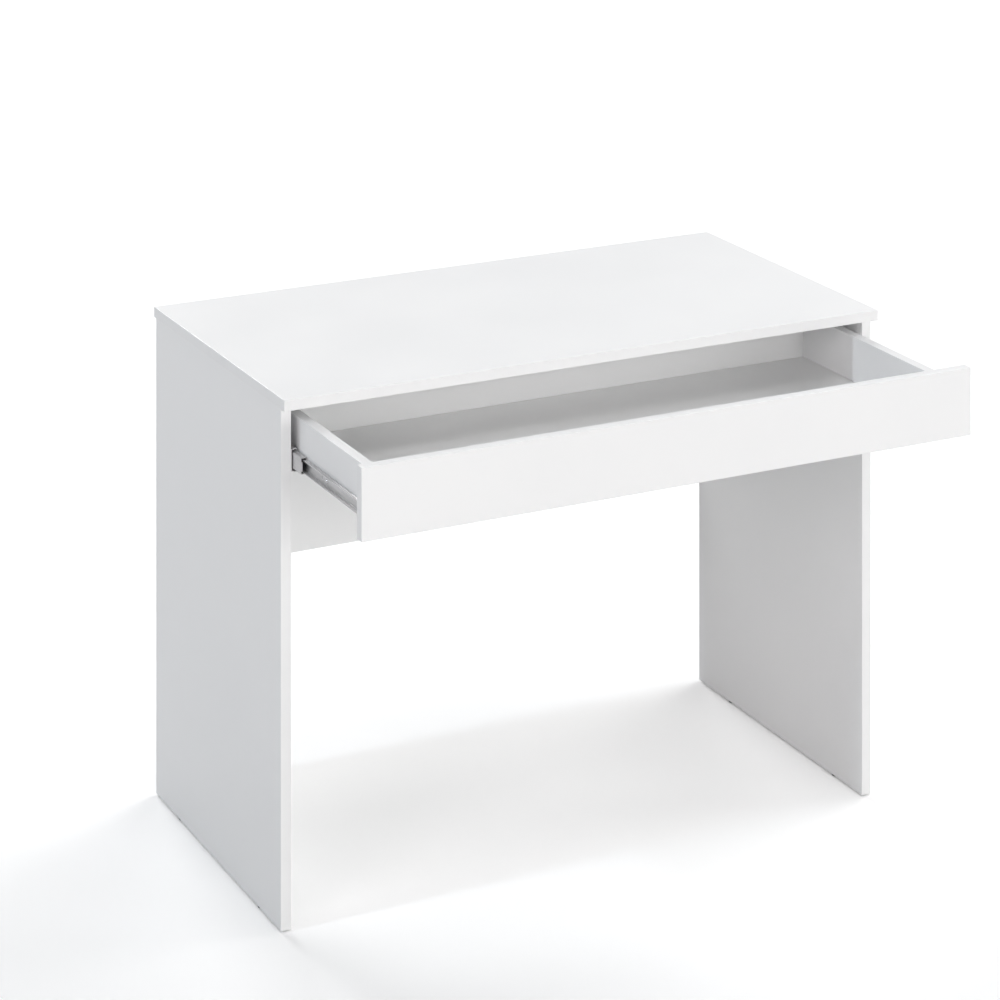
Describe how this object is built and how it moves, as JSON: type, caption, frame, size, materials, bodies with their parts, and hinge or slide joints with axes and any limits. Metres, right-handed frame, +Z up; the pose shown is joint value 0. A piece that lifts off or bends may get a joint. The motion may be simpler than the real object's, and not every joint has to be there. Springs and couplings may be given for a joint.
{
  "type": "writing desk",
  "caption": "Writing desk of plain white boards: two side panels, a back panel, and a wide shallow drawer without a handle on full-extension ball-bearing slides.",
  "frame": {"origin": "on the floor, under the middle of the desk's whole extent with the drawer pulled out 253 mm as at rest; the middle of the desk body without the drawer lies 126.5 mm behind it (+Y)", "axes": "+Z up, +X to the user's right, +Y away from the user; the drawer opens towards -Y"},
  "size_m": [1, 0.773, 0.76],
  "materials": {
    "white_melamine": "smooth satin white melamine on particle board",
    "white_hardboard": "thin white lacquered hardboard",
    "zinc_steel": "bright zinc-plated sheet steel",
    "cast_zinc": "dull die-cast zinc",
    "black_plastic": "matt moulded plastic",
    "beech": "raw beech dowel"
  },
  "bodies": {
    "root": {"back_panel": "white_melamine", "left_front_cabinet_screw": "zinc_steel", "left_front_dowel": "beech", "left_front_foot": "black_plastic", "left_front_top_cam": "cast_zinc", "left_front_top_cam_bolt": "zinc_steel", "left_lower_back_cam": "cast_zinc", "left_lower_back_cam_bolt": "zinc_steel", "left_rear_cabinet_screw": "zinc_steel", "left_rear_dowel": "beech", "left_rear_foot": "black_plastic", "left_rear_top_cam": "cast_zinc", "left_rear_top_cam_bolt": "zinc_steel", "left_side_panel": "white_melamine", "left_slide_bumper": "black_plastic", "left_slide_cabinet_member": "zinc_steel", "left_upper_back_cam": "cast_zinc", "left_upper_back_cam_bolt": "zinc_steel", "right_front_cabinet_screw": "zinc_steel", "right_front_dowel": "beech", "right_front_foot": "black_plastic", "right_front_top_cam": "cast_zinc", "right_front_top_cam_bolt": "zinc_steel", "right_lower_back_cam": "cast_zinc", "right_lower_back_cam_bolt": "zinc_steel", "right_rear_cabinet_screw": "zinc_steel", "right_rear_dowel": "beech", "right_rear_foot": "black_plastic", "right_rear_top_cam": "cast_zinc", "right_rear_top_cam_bolt": "zinc_steel", "right_side_panel": "white_melamine", "right_slide_bumper": "black_plastic", "right_slide_cabinet_member": "zinc_steel", "right_upper_back_cam": "cast_zinc", "right_upper_back_cam_bolt": "zinc_steel", "top_panel": "white_melamine"},
    "left_intermediate": {"left_slide_intermediate_member": "zinc_steel"},
    "right_intermediate": {"right_slide_intermediate_member": "zinc_steel"},
    "left_outer_cage": {"left_outer_ball_retainer": "zinc_steel"},
    "right_outer_cage": {"right_outer_ball_retainer": "zinc_steel"},
    "left_inner_cage": {"left_inner_ball_retainer": "black_plastic"},
    "right_inner_cage": {"right_inner_ball_retainer": "black_plastic"},
    "drawer": {"drawer_back": "white_melamine", "drawer_bottom": "white_hardboard", "drawer_front": "white_melamine", "drawer_left_side": "white_melamine", "drawer_right_side": "white_melamine", "left_drawer_back_screw": "zinc_steel", "left_front_cam": "cast_zinc", "left_front_cam_bolt": "zinc_steel", "left_front_drawer_screw": "zinc_steel", "left_rear_drawer_screw": "zinc_steel", "left_slide_drawer_member": "zinc_steel", "right_drawer_back_screw": "zinc_steel", "right_front_cam": "cast_zinc", "right_front_cam_bolt": "zinc_steel", "right_front_drawer_screw": "zinc_steel", "right_rear_drawer_screw": "zinc_steel", "right_slide_drawer_member": "zinc_steel"}
  },
  "joints": [
    {"name": "left_intermediate_slide", "type": "slide", "parent": "root", "child": "left_intermediate", "axis": [0, -1, 0], "range_m": [-0.053, 0.147]},
    {"name": "drawer_slide", "type": "slide", "parent": "left_intermediate", "child": "drawer", "axis": [0, -1, 0], "range_m": [-0.2, 0]},
    {"name": "right_intermediate_slide", "type": "slide", "parent": "root", "child": "right_intermediate", "axis": [0, -1, 0], "range_m": [-0.053, 0.147]},
    {"name": "left_outer_cage_slide", "type": "slide", "parent": "root", "child": "left_outer_cage", "axis": [0, -1, 0], "range_m": [-0.0265, 0.0735]},
    {"name": "right_outer_cage_slide", "type": "slide", "parent": "root", "child": "right_outer_cage", "axis": [0, -1, 0], "range_m": [-0.0265, 0.0735]},
    {"name": "left_inner_cage_slide", "type": "slide", "parent": "left_intermediate", "child": "left_inner_cage", "axis": [0, -1, 0], "range_m": [-0.1, 0]},
    {"name": "right_inner_cage_slide", "type": "slide", "parent": "right_intermediate", "child": "right_inner_cage", "axis": [0, -1, 0], "range_m": [-0.1, 0]}
  ],
  "couplings": [
    {"joint": "right_intermediate_slide", "follows": "left_intermediate_slide", "ratio": 1},
    {"joint": "left_outer_cage_slide", "follows": "left_intermediate_slide", "ratio": 0.5},
    {"joint": "right_outer_cage_slide", "follows": "left_intermediate_slide", "ratio": 0.5},
    {"joint": "left_inner_cage_slide", "follows": "drawer_slide", "ratio": 0.5},
    {"joint": "right_inner_cage_slide", "follows": "drawer_slide", "ratio": 0.5}
  ]
}
